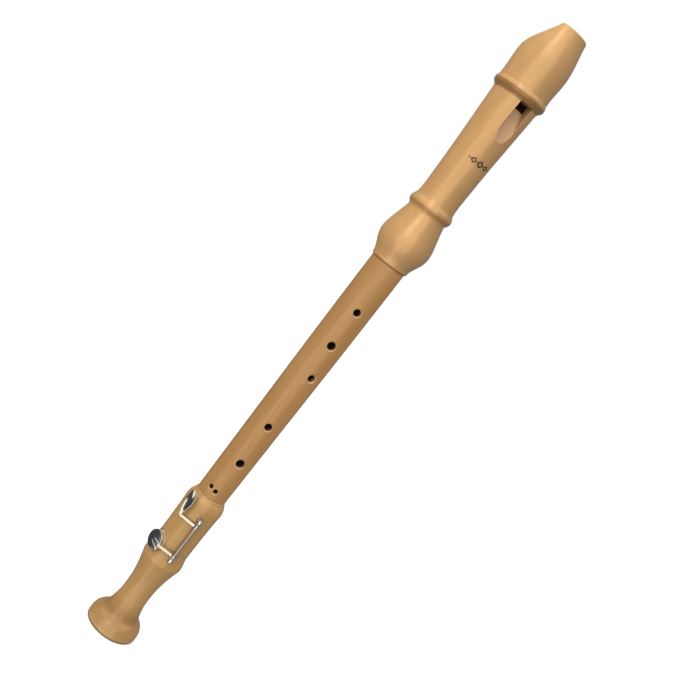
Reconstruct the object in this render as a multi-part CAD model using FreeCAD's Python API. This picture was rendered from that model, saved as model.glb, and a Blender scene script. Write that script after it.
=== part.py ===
import FreeCAD, Part
import math
import os

# A wooden tenor recorder in three joints, standing upright on its bell.
# Millimetres. Origin: centre of the bell-end bore at the end face. +Z runs up the instrument.
# The front, with the finger holes, faces -Y. Azimuths are degrees from -Y, positive towards +X.

V = FreeCAD.Vector
AXIS_Z = V(0, 0, 1)
CENTRE = V(0, 0, 0)

# --- lengths along the axis ---
TOTAL_LENGTH = 649.5
FOOT_TOP = 156.3            # rim of the foot's socket
MIDDLE_BOTTOM = 156.4       # lower shoulder of the middle joint
MIDDLE_TOP = 412.2          # upper shoulder of the middle joint
HEAD_BOTTOM = 412.3         # rim of the head's socket

# --- bores and sockets ---
BELL_BORE_R = 8.4           # straight stretch at the bell end
BELL_BORE_LENGTH = 30.0
FOOT_THROAT_R = 7.8
MIDDLE_BORE_LOW_R = 8.3
MIDDLE_BORE_TOP_R = 11.3
HEAD_BORE_R = 12.8
FOOT_SOCKET_R = 12.5
FOOT_SOCKET_FLOOR = 129.6
HEAD_SOCKET_R = 14.1
HEAD_SOCKET_ROOF = 440.4

# --- tenons and their cork sleeves ---
LOWER_TENON_R = 12.4
LOWER_TENON_END = 130.0
UPPER_TENON_R = 14.0
UPPER_TENON_END = 440.0
LOWER_CORK = (133.5, 152.5)     # lowest and highest edge of the groove
UPPER_CORK = (416.5, 436.0)
CORK_THICKNESS = 1.3
RUNNING_CLEARANCE = 0.03
GROOVE_END_CLEARANCE = 0.1

# --- head: window, ramp, windway, beak ---
HEAD_TWIST = 14.5           # the head is turned this far to the right of the finger holes
WINDOW_WIDTH = 14.3
WINDOW_BOTTOM = 574.5       # edge of the labium
WINDOW_TOP = 581.8          # end of the block
LABIUM_R = 13.35
RAMP_SIDE_END = 556.0       # where the sides of the ramp start to curve together
RAMP_SIDE_RISE = 1.7        # the ramp's floor is hollowed by this much there
RAMP_END = 544.3            # where the middle of the ramp ends
RAMP_END_R = 19.4
RAMP_END_RISE = 0.5
WINDWAY_WIDTH_TIP = 15.4
WINDWAY_EXIT_R = 13.9
WINDWAY_TIP_R = 15.1
BLOCK_CLEARANCE = 0.02
BEAK_CUT_R = 50.0           # hollow cut of the beak's underside
BEAK_CUT_Y = 36.6
BEAK_CUT_Z = 662.0

# --- finger holes: name, height, azimuth, radius ---
FINGER_HOLES = (
    ("first", 364.3, 0.0, 3.3),
    ("second", 328.7, 0.0, 3.8),
    ("third", 295.7, 14.5, 3.3),
    ("fourth", 239.3, -0.5, 3.4),
    ("fifth", 198.3, 0.0, 3.9),
    ("sixth left", 166.4, -34.5, 2.1),
    ("sixth right", 164.8, -9.5, 2.1),
    ("thumb", 386.0, 180.0, 3.4),
)
HOLE_BEVEL = 0.8

# --- low C key on the foot ---
ROD_AZIMUTH = 3.0
ROD_R = 22.3                # distance of the hinge from the instrument's axis
TONE_HOLE_Z = 97.6
TONE_HOLE_AZIMUTH = -66.0
TONE_HOLE_R = 4.0
SEAT_FLOOR = 14.7           # flat recess cut into the wood, distance from the axis
SEAT_TOP = 15.6             # raised ring that the pad closes on
SEAT_RING_R = 6.4
SEAT_RECESS_R = 10.0
OPEN_ANGLE = 8.5            # the key stands open by this angle
PAD_R = 8.4
PAD_THICKNESS = 2.6
CUP_R = 9.0
CUP_WALL = 0.55
CUP_RIM_LOW = 1.3           # the cup's rim hangs this far above the pad's face
CUP_SHOULDER = 3.3
CUP_DOME = 1.8
CUP_RIBS = (                # on the cup: place and radius of each rib's outer end, then of its inner end
    ((9.2, 0.55), 1.1, (1.2, 1.7), 0.5),
    ((9.0, -0.7), 1.0, (-0.5, -1.5), 0.45),
    ((7.9, -4.4), 1.5, (-0.3, -1.8), 0.45),
)
ARM_THICKNESS = 1.7
CUP_ARM_WIDTH = 2.5
TOUCH_ARM_WIDTH = 2.2
TOUCH_ARM_Z = 131.4
TUBE_R = 1.5
TUBE_BORE_R = 0.95
TUBE_BOTTOM = 95.0
TUBE_TOP = 134.2
END_PLAY = 0.06
COLLAR_R = 2.25
COLLAR_LENGTH = 3.2
TOUCH_AZIMUTH = -48.4
TOUCH_R = 22.9
TOUCH_Z = 146.35
TOUCH_LEAN = 9.0            # the leaf leans away from the finger holes
TOUCH_LENGTH = 22.2
TOUCH_RIGHT = 6.6           # the leaf reaches this far to the right of its stem
TOUCH_LEFT = 2.9            # and this far to the left
TOUCH_THICKNESS = 1.2
TOUCH_DISH_R = 19.0         # hollowed across its width
STEM_THICKNESS = 1.3

# --- pillars and hinge screw ---
PILLAR_HEIGHTS = {"upper_pillar": 136.6, "lower_pillar": 92.6}
PILLAR_SEATS = {"upper_pillar": 17.9, "lower_pillar": 17.25}
BALL_R = 2.8
PILLAR_STEM_R = 1.35
PILLAR_FLANGE_R = 2.5
PILLAR_FLANGE_THICKNESS = 0.7
PILLAR_SHANK_DEPTH = 4.5
SCREW_R = 0.9
SCREW_BOTTOM = 90.6
SCREW_HEAD_Z = 139.0
SCREW_HEAD_R = 1.7
SCREW_HEAD_THICKNESS = 1.1
SCREW_SLOT_WIDTH = 0.5
SCREW_SLOT_DEPTH = 0.6

# --- return spring ---
SPRING_WIRE_R = 0.3
SPRING_COIL_R = 2.0
SPRING_COIL_BOTTOM = 99.85
SPRING_TURNS = 3
SPRING_PITCH = 0.68
SPRING_LEG = (               # radius, azimuth, height of the leg's bends, ending on the wood
    (20.9, 13.0, 99.5),
    (19.9, 20.5, 95.9),
    (19.2, 24.5, 99.0),
    (17.9, 46.0, 98.9),
)
SPRING_HOOK = (              # bends of the other leg, ending behind the cup arm, measured from the rod
    (1.4, 3.0, 101.89),
    (-2.0, 3.6, 101.89),
    (-5.5, 3.4, 101.89),
    (-6.3, 3.6, 97.6),
)

# --- stop cork under the heel of the touch arm ---
HEEL_Z = 131.9
HEEL_REACH = 3.0
HEEL_THICKNESS = 1.0
HEEL_R = 19.9
STOP_CORK_GAP = 0.05
WOOD_R_AT_HEEL = 18.05      # the foot's radius under the heel


# ---------- helpers ----------

def point_at(radius, azimuth, height):
    angle = math.radians(azimuth)
    return V(radius * math.sin(angle), -radius * math.cos(angle), height)


def set_radially(shape, azimuth, height):
    """Place a shape made with z outward and y upward at an azimuth and height."""
    placed = shape.copy()
    placed.rotate(CENTRE, V(1, 0, 0), 90)
    placed.rotate(CENTRE, AXIS_Z, azimuth)
    placed.translate(V(0, 0, height))
    return placed


def stretch_edge(points):
    """Line through two points, arc through three, smooth curve through more."""
    corners = [V(radius, 0, height) for radius, height in points]
    if len(corners) == 2:
        return Part.makeLine(*corners)
    if len(corners) == 3:
        return Part.Arc(*corners).toShape()
    curve = Part.BSplineCurve()
    curve.interpolate(corners)
    return curve.toShape()


def turned(start, *stretches):
    """Solid turned about Z from an outline of (radius, height) stretches that closes on itself."""
    edges = []
    last = start
    for stretch in stretches:
        edges.append(stretch_edge([last] + list(stretch)))
        last = stretch[-1]
    if last != start:
        edges.append(stretch_edge([last, start]))
    face = Part.Face(Part.Wire(edges))
    return face.revolve(CENTRE, AXIS_Z, 360)


def prism(points, bottom, height):
    """Straight-sided prism from (x, y) points."""
    corners = [V(x, y, bottom) for x, y in points]
    outline = Part.makePolygon(corners + corners[:1])
    return Part.Face(outline).extrude(V(0, 0, height))


def fused(first, *others):
    joined = first.fuse(list(others)).removeSplitter()
    return joined.Solids[0] if len(joined.Solids) == 1 else joined


def rod_point(height):
    return point_at(ROD_R, ROD_AZIMUTH, height)


def opened(shape):
    """Swing a piece of the key from its closed place to its open one."""
    swung = shape.copy()
    swung.rotate(rod_point(0), AXIS_Z, OPEN_ANGLE)
    return swung


# ---------- the three wooden joints ----------

def bell_and_waist():
    bell = [(25.05, 6.0), (23.9, 11.0), (21.2, 14.6), (18.5, 16.8), (16.8, 19.4), (15.2, 24.6)]
    waist = [(13.75, 33), (13.4, 44.5), (13.8, 53), (16.0, 67), (19.3, 80.4)]
    return (
        [(23.6, 0)],
        [(24.6, 0.5), (25.0, 1.8)],
        bell + waist,
        [(19.5, 81.0), (19.45, 81.9)],
        [(18.95, 86.3), (18.0, 90.2), (17.55, 94.5)],
    )


def foot_socket_swell():
    return (
        [(17.55, 108), (17.85, 127), (18.4, 142)],
        [(18.3, 147.9), (16.5, 152.7)],
        [(16.0, 152.9)],
        [(14.9, 155.7)],
        [(14.3, FOOT_TOP)],
        [(FOOT_SOCKET_R + 0.4, FOOT_TOP)],
        [(FOOT_SOCKET_R, FOOT_TOP - 0.4)],
        [(FOOT_SOCKET_R, FOOT_SOCKET_FLOOR)],
        [(MIDDLE_BORE_LOW_R, FOOT_SOCKET_FLOOR)],
        [(FOOT_THROAT_R, 62)],
        [(BELL_BORE_R, BELL_BORE_LENGTH)],
    )


def tone_hole_seat():
    """Flat recess with a raised ring, and the hole down to the bore."""
    recess = Part.makeCylinder(SEAT_RECESS_R, 20, V(0, 0, SEAT_FLOOR))
    ring = Part.makeCylinder(SEAT_RING_R, SEAT_TOP - SEAT_FLOOR, V(0, 0, SEAT_FLOOR))
    hole = Part.makeCylinder(TONE_HOLE_R, 20, V(0, 0, 0))
    cutter = recess.cut(ring).fuse(hole)
    return set_radially(cutter, TONE_HOLE_AZIMUTH, TONE_HOLE_Z)


def pillar_seat(name):
    """Screw hole and small spot face for one pillar."""
    seat = PILLAR_SEATS[name]
    floor = seat - PILLAR_SHANK_DEPTH - 0.2
    hole = Part.makeCylinder(PILLAR_STEM_R + RUNNING_CLEARANCE, 10, V(0, 0, floor))
    face = Part.makeCylinder(PILLAR_FLANGE_R + 0.15, 5, V(0, 0, seat))
    return set_radially(hole.fuse(face), ROD_AZIMUTH, PILLAR_HEIGHTS[name])


def foot_joint():
    outline = bell_and_waist() + foot_socket_swell()
    body = turned((BELL_BORE_R, 0), *outline)
    cutters = [tone_hole_seat()]
    for name in PILLAR_HEIGHTS:
        cutters.append(pillar_seat(name))
    return body.cut(cutters)


def finger_hole(height, azimuth, radius, body_radius):
    """A hole from the outside into the bore, with a bevelled rim and a flared lower end."""
    bevel_floor = body_radius - 0.9
    shaft = Part.makeCylinder(radius, body_radius, CENTRE)
    bevel = Part.makeCone(radius, radius + 2 * HOLE_BEVEL, 2 * HOLE_BEVEL, V(0, 0, bevel_floor))
    flare = Part.makeCone(radius + 0.9, radius, 3.2, V(0, 0, MIDDLE_BORE_LOW_R - 1.5))
    return set_radially(shaft.fuse([bevel, flare]), azimuth, height)


def middle_radius(height):
    """Outer radius of the middle joint, near enough for placing the holes."""
    share = (height - MIDDLE_BOTTOM) / (MIDDLE_TOP - MIDDLE_BOTTOM)
    return 14.6 + 1.92 * share


def middle_joint():
    lower_groove = LOWER_TENON_R - CORK_THICKNESS
    upper_groove = UPPER_TENON_R - CORK_THICKNESS
    body = turned(
        (MIDDLE_BORE_LOW_R, LOWER_TENON_END),
        [(LOWER_TENON_R - 0.5, LOWER_TENON_END)],
        [(LOWER_TENON_R, LOWER_TENON_END + 0.5)],
        [(LOWER_TENON_R, LOWER_CORK[0])],
        [(lower_groove, LOWER_CORK[0])],
        [(lower_groove, LOWER_CORK[1])],
        [(LOWER_TENON_R, LOWER_CORK[1])],
        [(LOWER_TENON_R, MIDDLE_BOTTOM)],
        [(14.2, MIDDLE_BOTTOM)],
        [(14.5, MIDDLE_BOTTOM + 0.4)],
        [(14.75, 182), (15.2, 230), (16.0, 312), (16.3, 362), (16.42, MIDDLE_TOP - 0.4)],
        [(16.1, MIDDLE_TOP)],
        [(UPPER_TENON_R, MIDDLE_TOP)],
        [(UPPER_TENON_R, UPPER_CORK[0])],
        [(upper_groove, UPPER_CORK[0])],
        [(upper_groove, UPPER_CORK[1])],
        [(UPPER_TENON_R, UPPER_CORK[1])],
        [(UPPER_TENON_R, UPPER_TENON_END - 0.5)],
        [(UPPER_TENON_R - 0.5, UPPER_TENON_END)],
        [(MIDDLE_BORE_TOP_R, UPPER_TENON_END)],
    )
    cutters = []
    for _, height, azimuth, radius in FINGER_HOLES:
        cutters.append(finger_hole(height, azimuth, radius, middle_radius(height)))
    return body.cut(cutters)


def cork_sleeve(groove, tenon_radius, socket_radius):
    inner = tenon_radius - CORK_THICKNESS + RUNNING_CLEARANCE
    outer = socket_radius - RUNNING_CLEARANCE
    low = groove[0] + GROOVE_END_CLEARANCE
    high = groove[1] - GROOVE_END_CLEARANCE
    return turned(
        (inner, low),
        [(outer - 0.4, low)],
        [(outer, low + 0.6)],
        [(outer, high - 0.6)],
        [(outer - 0.4, high)],
        [(inner, high)],
    )


def bulb_and_lower_bead():
    rising = [(18.0, 415.0), (19.6, 419.8), (22.4, 426.0), (24.1, 432.0), (24.3, 436.0)]
    falling = [(23.2, 443.5), (20.9, 452.5), (18.45, 462.4)]
    return (
        [(17.3, HEAD_BOTTOM)],
        [(17.7, 412.7), (17.85, 413.4)],
        rising + falling,
        [(18.5, 464.2), (19.4, 465.6)],
        [(20.85, 469.9), (19.5, 473.4)],
        [(18.9, 474.6), (18.0, 479.0), (17.8, 485.0)],
    )


def shaft_bead_and_barrel():
    return (
        [(18.35, 507.0), (19.0, 526.6), (19.9, 546.0), (20.8, 565.0), (21.5, 579.5)],
        [(21.9, 581.6), (23.3, 583.6)],
        [(24.3, 584.5)],
        [(25.0, 587.4), (24.1, 590.4)],
        [(23.75, 591.4), (23.75, 592.6)],
        [(23.8, 602.0), (24.4, 612.5), (23.8, 623.5), (21.3, 636.2), (19.0, 647.3)],
        [(18.6, 648.9), (17.6, TOTAL_LENGTH)],
    )


def barrel_bore():
    return (
        [(HEAD_BORE_R, TOTAL_LENGTH)],
        [(HEAD_BORE_R, HEAD_SOCKET_ROOF)],
        [(HEAD_SOCKET_R, HEAD_SOCKET_ROOF)],
        [(HEAD_SOCKET_R, HEAD_BOTTOM + 0.4)],
        [(HEAD_SOCKET_R + 0.4, HEAD_BOTTOM)],
    )


def window_opening():
    height = WINDOW_TOP - WINDOW_BOTTOM
    return Part.makeBox(WINDOW_WIDTH, 30, height, V(-WINDOW_WIDTH / 2, -35, WINDOW_BOTTOM))


def ramp_section(height, rise):
    """Outline across the ramp: its floor, with its sides higher than its middle by the rise, and open air."""
    half = WINDOW_WIDTH / 2
    slope = (RAMP_END_R - LABIUM_R) / (WINDOW_BOTTOM - RAMP_END)
    middle = -LABIUM_R - slope * (WINDOW_BOTTOM - height)
    side = middle - rise
    floor = Part.Arc(V(-half, side, height), V(0, middle, height), V(half, side, height)).toShape()
    walls = Part.makePolygon([V(half, side, height), V(half, -35, height),
                              V(-half, -35, height), V(-half, side, height)])
    return Part.Wire([floor] + walls.Edges)


def ramp_reach():
    """Everything in front of the ramp's outline, which is straight-sided and ends in half an oval."""
    half = WINDOW_WIDTH / 2
    top = WINDOW_BOTTOM + 1
    oval = Part.Ellipse(V(0, 0, RAMP_END), V(half, 0, RAMP_SIDE_END), V(0, 0, RAMP_SIDE_END))
    end = Part.Face(Part.Wire([oval.toShape()])).extrude(V(0, -35, 0))
    sides = Part.makeBox(2 * half, 35, top - RAMP_SIDE_END, V(-half, -35, RAMP_SIDE_END))
    return fused(end, sides)


def labium_ramp():
    """The slope from the labium's edge out to the surface, arched at the edge and hollowed where it ends."""
    arch = WINDOW_WIDTH * WINDOW_WIDTH / (8 * LABIUM_R)
    sections = [
        ramp_section(WINDOW_BOTTOM + 0.5, -arch),
        ramp_section(RAMP_SIDE_END, RAMP_SIDE_RISE),
        ramp_section(RAMP_END - 1, RAMP_END_RISE),
    ]
    return Part.makeLoft(sections, True, False).common(ramp_reach())


def windway():
    """Flat-sided slot above the block, narrowing from the beak to the window."""
    length = TOTAL_LENGTH - WINDOW_TOP + 2
    roof = Part.makeCone(WINDWAY_EXIT_R, WINDWAY_TIP_R, length, V(0, 0, WINDOW_TOP - 1))
    low = WINDOW_TOP - 1
    half_low = WINDOW_WIDTH / 2
    half_tip = WINDWAY_WIDTH_TIP / 2
    sides = Part.makePolygon([V(-half_low, 0, low), V(half_low, 0, low), V(half_tip, 0, low + length),
                              V(-half_tip, 0, low + length), V(-half_low, 0, low)])
    slab = Part.Face(sides).extrude(V(0, -30, 0))
    return roof.common(slab)


def beak_cut():
    return Part.makeCylinder(BEAK_CUT_R, 80, V(-40, BEAK_CUT_Y, BEAK_CUT_Z), V(1, 0, 0))


def head_joint():
    outline = bulb_and_lower_bead() + shaft_bead_and_barrel() + barrel_bore()
    body = turned((HEAD_SOCKET_R + 0.4, HEAD_BOTTOM), *outline)
    body = body.cut([window_opening(), labium_ramp(), windway(), beak_cut()])
    body.rotate(CENTRE, AXIS_Z, HEAD_TWIST)
    return body


def block():
    """Plug that fills the bore under the windway, cut off with the beak."""
    radius = HEAD_BORE_R - BLOCK_CLEARANCE
    plug = turned(
        (0, WINDOW_TOP),
        [(radius - 0.8, WINDOW_TOP)],
        [(radius, WINDOW_TOP + 0.8)],
        [(radius, TOTAL_LENGTH)],
        [(0, TOTAL_LENGTH)],
    )
    plug = plug.cut(beak_cut())
    plug.rotate(CENTRE, AXIS_Z, HEAD_TWIST)
    return plug


# ---------- key: the side that is fixed to the foot ----------

def pillar(name):
    """Ball-headed pillar screwed into the wood, bored for the hinge screw."""
    seat = PILLAR_SEATS[name]
    shank = Part.makeCylinder(PILLAR_STEM_R, PILLAR_SHANK_DEPTH, V(0, 0, seat - PILLAR_SHANK_DEPTH))
    flange = Part.makeCylinder(PILLAR_FLANGE_R, PILLAR_FLANGE_THICKNESS, V(0, 0, seat))
    taper = Part.makeCone(1.9, PILLAR_STEM_R, 1.2, V(0, 0, seat + PILLAR_FLANGE_THICKNESS))
    stem = Part.makeCylinder(PILLAR_STEM_R, ROD_R - seat, V(0, 0, seat))
    ball = Part.makeSphere(BALL_R, V(0, 0, ROD_R))
    body = set_radially(fused(shank, flange, taper, stem, ball), ROD_AZIMUTH, PILLAR_HEIGHTS[name])
    hole = Part.makeCylinder(SCREW_R + 0.02, 60, rod_point(SCREW_BOTTOM - 0.05))
    return body.cut([hole, screw_head_recess(), tube_room()])


def screw_head_recess():
    return Part.makeCylinder(SCREW_HEAD_R + 0.05, 5, rod_point(SCREW_HEAD_Z))


def tube_room():
    """Space between the pillars where the hinge tube turns."""
    height = TUBE_TOP - TUBE_BOTTOM + 2 * END_PLAY
    return Part.makeCylinder(COLLAR_R + 0.4, height, rod_point(TUBE_BOTTOM - END_PLAY))


def hinge_screw():
    shank = Part.makeCylinder(SCREW_R, SCREW_HEAD_Z - SCREW_BOTTOM, rod_point(SCREW_BOTTOM))
    head = Part.makeCylinder(SCREW_HEAD_R, SCREW_HEAD_THICKNESS, rod_point(SCREW_HEAD_Z))
    top = SCREW_HEAD_Z + SCREW_HEAD_THICKNESS
    slot = Part.makeBox(6, SCREW_SLOT_WIDTH, SCREW_SLOT_DEPTH, V(-3, -SCREW_SLOT_WIDTH / 2, 0))
    slot.rotate(CENTRE, AXIS_Z, 35)
    slot.translate(rod_point(top - SCREW_SLOT_DEPTH))
    return fused(shank, head).cut(slot)


# ---------- key: the side that swings ----------

def hinge_tube():
    outer = Part.makeCylinder(TUBE_R, TUBE_TOP - TUBE_BOTTOM, rod_point(TUBE_BOTTOM))
    bore = Part.makeCylinder(TUBE_BORE_R, TUBE_TOP - TUBE_BOTTOM + 2, rod_point(TUBE_BOTTOM - 1))
    return outer.cut(bore)


def tube_bore(bottom, length):
    """Room for the hinge tube inside a collar."""
    return Part.makeCylinder(TUBE_R, length, rod_point(bottom))


def bar_between(start, end, width, thickness):
    """Rounded flat bar between two points at one height, its flat side facing outward."""
    run = end.sub(start)
    length = run.Length
    bar = Part.makeBox(length, thickness, width, V(0, -thickness / 2, -width / 2))
    long_edges = [edge for edge in bar.Edges if abs(edge.tangentAt(edge.FirstParameter).x) > 0.99]
    bar = bar.makeFillet(0.45, long_edges)
    bar.rotate(CENTRE, AXIS_Z, math.degrees(math.atan2(run.y, run.x)))
    bar.translate(start)
    return bar


def collar(bottom, length):
    return Part.makeCylinder(COLLAR_R, length, rod_point(bottom))


def seat_frame(shape):
    """Place a piece made over the pad's face (z outward, y up) at the closed tone hole."""
    raised = shape.copy()
    raised.translate(V(0, 0, SEAT_TOP))
    return set_radially(raised, TONE_HOLE_AZIMUTH, TONE_HOLE_Z)


def dome_radius():
    return (CUP_R * CUP_R + CUP_DOME * CUP_DOME) / (2 * CUP_DOME)


def dome_ball(offset):
    """The sphere that the cup's dome is part of, grown by an offset."""
    centre = V(0, 0, CUP_SHOULDER + CUP_DOME - dome_radius())
    return Part.makeSphere(dome_radius() + offset, centre)


def cup_space():
    """Everything inside the cup's outer surface."""
    return Part.makeCylinder(CUP_R + 0.02, CUP_SHOULDER + CUP_DOME, CENTRE).common(dome_ball(0.02))


def pad():
    disc = Part.makeCylinder(PAD_R, PAD_THICKNESS, CENTRE)
    rim = [edge for edge in disc.Edges if edge.Length > 6 and abs(edge.CenterOfMass.z) < 0.01]
    return opened(seat_frame(disc.makeFillet(0.7, rim)))


def pad_cup():
    """Shallow domed lid that holds the pad."""
    shell = cup_space()
    circles = [edge for edge in shell.Edges if edge.Length > 6]
    rim = [edge for edge in circles if abs(edge.CenterOfMass.z - CUP_SHOULDER) < 0.05]
    shell = shell.makeFillet(0.5, rim)
    below = Part.makeCylinder(CUP_R + 1, CUP_RIM_LOW, CENTRE)
    hollow = Part.makeCylinder(CUP_R - CUP_WALL, PAD_THICKNESS, CENTRE)
    return opened(seat_frame(shell.cut([below, hollow])))


def on_dome(place):
    """Point just above the dome, over a place on the cup."""
    x, y = place
    height = CUP_SHOULDER + CUP_DOME - (x * x + y * y) / (2 * dome_radius())
    return V(x, y, height + 0.1)


def cup_ribs():
    """Round-backed ribs that fan out over the dome and taper inwards."""
    parts = []
    for outer, outer_radius, inner, inner_radius in CUP_RIBS:
        start = on_dome(outer)
        run = on_dome(inner).sub(start)
        parts.append(Part.makeCone(outer_radius, inner_radius, run.Length, start, run))
        parts.append(Part.makeSphere(outer_radius, start))
        parts.append(Part.makeSphere(inner_radius, on_dome(inner)))
    return parts


def cup_arm():
    """Arm from the hinge to the cup, ending in the forked prongs."""
    reach = 8.0
    lift = SEAT_TOP + CUP_SHOULDER + 1.15
    angle = math.radians(TONE_HOLE_AZIMUTH)
    end = V(lift * math.sin(angle) + reach * math.cos(angle),
            -lift * math.cos(angle) + reach * math.sin(angle), TONE_HOLE_Z)
    bar = bar_between(rod_point(TONE_HOLE_Z), end, CUP_ARM_WIDTH, ARM_THICKNESS)
    hub = collar(TONE_HOLE_Z - COLLAR_LENGTH / 2, COLLAR_LENGTH)
    ribs = [seat_frame(rib) for rib in cup_ribs()]
    body = fused(hub, bar, *ribs)
    return opened(body.cut([tube_bore(TONE_HOLE_Z - 5, 10), seat_frame(cup_space())]))


def leaf_outline():
    """Half-almond outline of the touch, pointed where it meets its arm; x across, y along."""
    low = -TOUCH_LENGTH / 2
    top = TOUCH_LENGTH / 2
    bulge = [(0.72, low * 0.42), (1.0, top * 0.22), (0.62, top * 0.78)]
    right = [(0.9, low)] + [(TOUCH_RIGHT * share, y) for share, y in bulge]
    left = [(-TOUCH_LEFT * share, y) for share, y in reversed(bulge)] + [(-0.9, low)]
    curve = Part.BSplineCurve()
    curve.interpolate([V(x, y, 0) for x, y in right + [(0, top)] + left])
    bottom = Part.makeLine(V(-0.9, low, 0), V(0.9, low, 0))
    return Part.Face(Part.Wire([curve.toShape(), bottom]))


def touch_frame(shape):
    leaning = shape.copy()
    leaning.rotate(CENTRE, AXIS_Z, TOUCH_LEAN)
    return set_radially(leaning, TOUCH_AZIMUTH, TOUCH_Z)


def touch_shell(inner, outer):
    """Trough hollowed towards the finger, between two depths measured outward from its floor."""
    base = V(0, -40, TOUCH_R + TOUCH_DISH_R)
    trough = Part.makeCylinder(TOUCH_DISH_R - inner, 80, base, V(0, 1, 0))
    return trough.cut(Part.makeCylinder(TOUCH_DISH_R - outer, 80, base, V(0, 1, 0)))


def touch_piece():
    """Dished leaf that the little finger presses."""
    leaf = leaf_outline().extrude(V(0, 0, 12))
    leaf.translate(V(0, 0, TOUCH_R - 3))
    return touch_frame(leaf.common(touch_shell(0, TOUCH_THICKNESS)))


def touch_stem():
    """Tapering rib that carries the leaf, along its back."""
    low = -TOUCH_LENGTH / 2
    outline = [(-1.9, low - 4.2), (0.6, low - 4.2), (1.0, low + 3), (0.55, low + 14),
               (-0.55, low + 14), (-1.1, low + 3)]
    rib = prism(outline, TOUCH_R - 3, 12)
    return touch_frame(rib.common(touch_shell(-STEM_THICKNESS, 0)))


def touch_arm_end():
    """Where the stem meets the arm: under the foot of the leaf, at the arm's height."""
    foot = Part.Vertex(V(-0.7, -TOUCH_LENGTH / 2 - 3.4, TOUCH_R - 0.4))
    place = touch_frame(foot).Point
    return V(place.x, place.y, TOUCH_ARM_Z)


def touch_arm():
    bar = bar_between(rod_point(TOUCH_ARM_Z), touch_arm_end(), TOUCH_ARM_WIDTH, ARM_THICKNESS)
    low = TOUCH_ARM_Z - COLLAR_LENGTH / 2
    hub = collar(low, TUBE_TOP - low)
    body = fused(hub, bar, heel(), touch_stem())
    return body.cut(tube_bore(TOUCH_ARM_Z - 5, 10))


def heel_frame(shape):
    """Place a piece made beside the rod (x to the right, z outward) at the heel's height."""
    return set_radially(shape, ROD_AZIMUTH, HEEL_Z)


def heel():
    """Short tongue that carries the stop cork, to the right of the rod."""
    tongue = Part.makeBox(HEEL_REACH, COLLAR_LENGTH, HEEL_THICKNESS, V(0, -COLLAR_LENGTH / 2, HEEL_R))
    return heel_frame(tongue)


def stop_cork():
    """Cork under the heel, resting on the wood while the key stands open."""
    depth = 4
    cork = Part.makeBox(HEEL_REACH - 0.6, COLLAR_LENGTH, depth, V(0.4, -COLLAR_LENGTH / 2, HEEL_R - depth))
    low = HEEL_Z - COLLAR_LENGTH / 2
    wood = Part.makeCylinder(WOOD_R_AT_HEEL + STOP_CORK_GAP, COLLAR_LENGTH + 2, V(0, 0, low - 1))
    return heel_frame(cork).cut(wood)


def wire_run(start, end):
    run = end.sub(start)
    return Part.makeCylinder(SPRING_WIRE_R, run.Length, start, run)


def bent_wire(points):
    pieces = []
    for start, end in zip(points, points[1:]):
        pieces.append(wire_run(start, end))
        pieces.append(Part.makeSphere(SPRING_WIRE_R, end))
    return pieces


def coil_point(turns):
    """Point on the coil's wire after a number of turns, counted from its lower end."""
    angle = 2 * math.pi * turns
    centre = rod_point(SPRING_COIL_BOTTOM + SPRING_PITCH * turns)
    return centre.add(V(SPRING_COIL_R * math.cos(angle), SPRING_COIL_R * math.sin(angle), 0))


def spring_coil():
    """The turns round the hinge tube, swept along one arc per quarter turn."""
    arcs = []
    for quarter in range(4 * SPRING_TURNS):
        bend = [coil_point((quarter + share) / 4) for share in (0, 0.5, 1)]
        arcs.append(Part.Arc(*bend))
    along = arcs[0].tangent(arcs[0].FirstParameter)[0]
    section = Part.Wire([Part.makeCircle(SPRING_WIRE_R, coil_point(0), along)])
    path = Part.Wire([arc.toShape() for arc in arcs])
    return path.makePipeShell([section], True, True, 1)


def key_spring():
    """Torsion spring on the hinge tube: one leg presses on the wood, one hooks behind the cup arm."""
    leg = [coil_point(0)] + [point_at(*bend) for bend in SPRING_LEG]
    hook = [coil_point(SPRING_TURNS)]
    for x, y, height in SPRING_HOOK:
        hook.append(rod_point(height).add(V(x, y, 0)))
    return fused(spring_coil(), *(bent_wire(leg) + bent_wire(hook)))


PIECES = {
    "foot_joint": foot_joint,
    "upper_pillar": lambda: pillar("upper_pillar"),
    "lower_pillar": lambda: pillar("lower_pillar"),
    "hinge_screw": hinge_screw,
    "hinge_tube": hinge_tube,
    "cup_arm": cup_arm,
    "pad_cup": pad_cup,
    "pad": pad,
    "touch_arm": touch_arm,
    "touch_piece": touch_piece,
    "stop_cork": stop_cork,
    "key_spring": key_spring,
    "lower_tenon_cork": lambda: cork_sleeve(LOWER_CORK, LOWER_TENON_R, FOOT_SOCKET_R),
    "middle_joint": middle_joint,
    "upper_tenon_cork": lambda: cork_sleeve(UPPER_CORK, UPPER_TENON_R, HEAD_SOCKET_R),
    "head_joint": head_joint,
    "block": block,
}


os.makedirs("parts", exist_ok=True)
for name, make in PIECES.items():
    shape = make()
    print(name, "solids", len(shape.Solids), "valid", shape.isValid(), "volume", round(shape.Volume, 1))
    shape.exportStep(f"parts/{name}.step")
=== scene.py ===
"""Looks for a wooden tenor recorder with a low C key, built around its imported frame.

Metres, in the frame's axes: +Z up the instrument from the bell's end face, -Y the front with the finger
holes. Azimuths are degrees from -Y, positive towards +X. Places on the instrument are in millimetres.
"""

import math

import bmesh
import bpy
from mathutils import Matrix, Vector


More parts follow.
